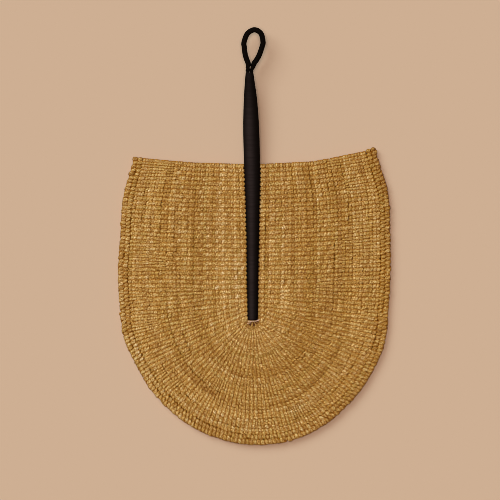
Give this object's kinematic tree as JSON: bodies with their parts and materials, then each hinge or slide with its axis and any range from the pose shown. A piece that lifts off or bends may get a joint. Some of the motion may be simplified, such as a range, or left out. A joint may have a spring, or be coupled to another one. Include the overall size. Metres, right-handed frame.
{
  "type": "woven hand fan",
  "caption": "Flat hand fan of twined straw with a round bottom, a leather-covered handle down its middle and a hanging loop.",
  "frame": {"origin": "on the surface that the fan lies on, under the middle of its overall width and length", "axes": "+Z out of the front face, +Y along the handle towards the hanging loop, +X to the right seen from the front"},
  "size_m": [0.3254, 0.5, 0.0197],
  "materials": {
    "woven_straw": "matte",
    "stake_straw": "matte",
    "core_straw": "matte",
    "black_leather": "satin"
  },
  "bodies": {
    "root": {"stake_01": "stake_straw", "stake_02": "stake_straw", "stake_03": "stake_straw", "stake_04": "stake_straw", "stake_05": "stake_straw", "stake_06": "stake_straw", "stake_07": "stake_straw", "stake_08": "stake_straw", "stake_09": "stake_straw", "stake_10": "stake_straw", "stake_11": "stake_straw", "stake_12": "stake_straw", "stake_13": "stake_straw", "stake_14": "stake_straw", "stake_15": "stake_straw", "stake_16": "stake_straw", "stake_17": "stake_straw", "stake_18": "stake_straw", "stake_19": "stake_straw", "stake_20": "stake_straw", "stake_21": "stake_straw", "stake_22": "stake_straw", "stake_23": "stake_straw", "stake_24": "stake_straw", "stake_25": "stake_straw", "stake_26": "stake_straw", "stake_27": "stake_straw", "stake_28": "stake_straw", "stake_29": "stake_straw", "stake_30": "stake_straw", "stake_31": "stake_straw", "stake_32": "stake_straw", "stake_33": "stake_straw", "stake_34": "stake_straw", "stake_35": "stake_straw", "starter_bundle": "stake_straw", "twined_band_1": "woven_straw", "twined_band_2": "woven_straw", "twined_band_3": "woven_straw", "twined_band_4": "woven_straw", "rim_border": "woven_straw", "handle_core": "core_straw", "loop_core": "core_straw", "hub_tie": "core_straw", "leather_sleeve": "black_leather", "loop_skin": "black_leather", "neck_binding": "black_leather"}
  },
  "joints": []
}
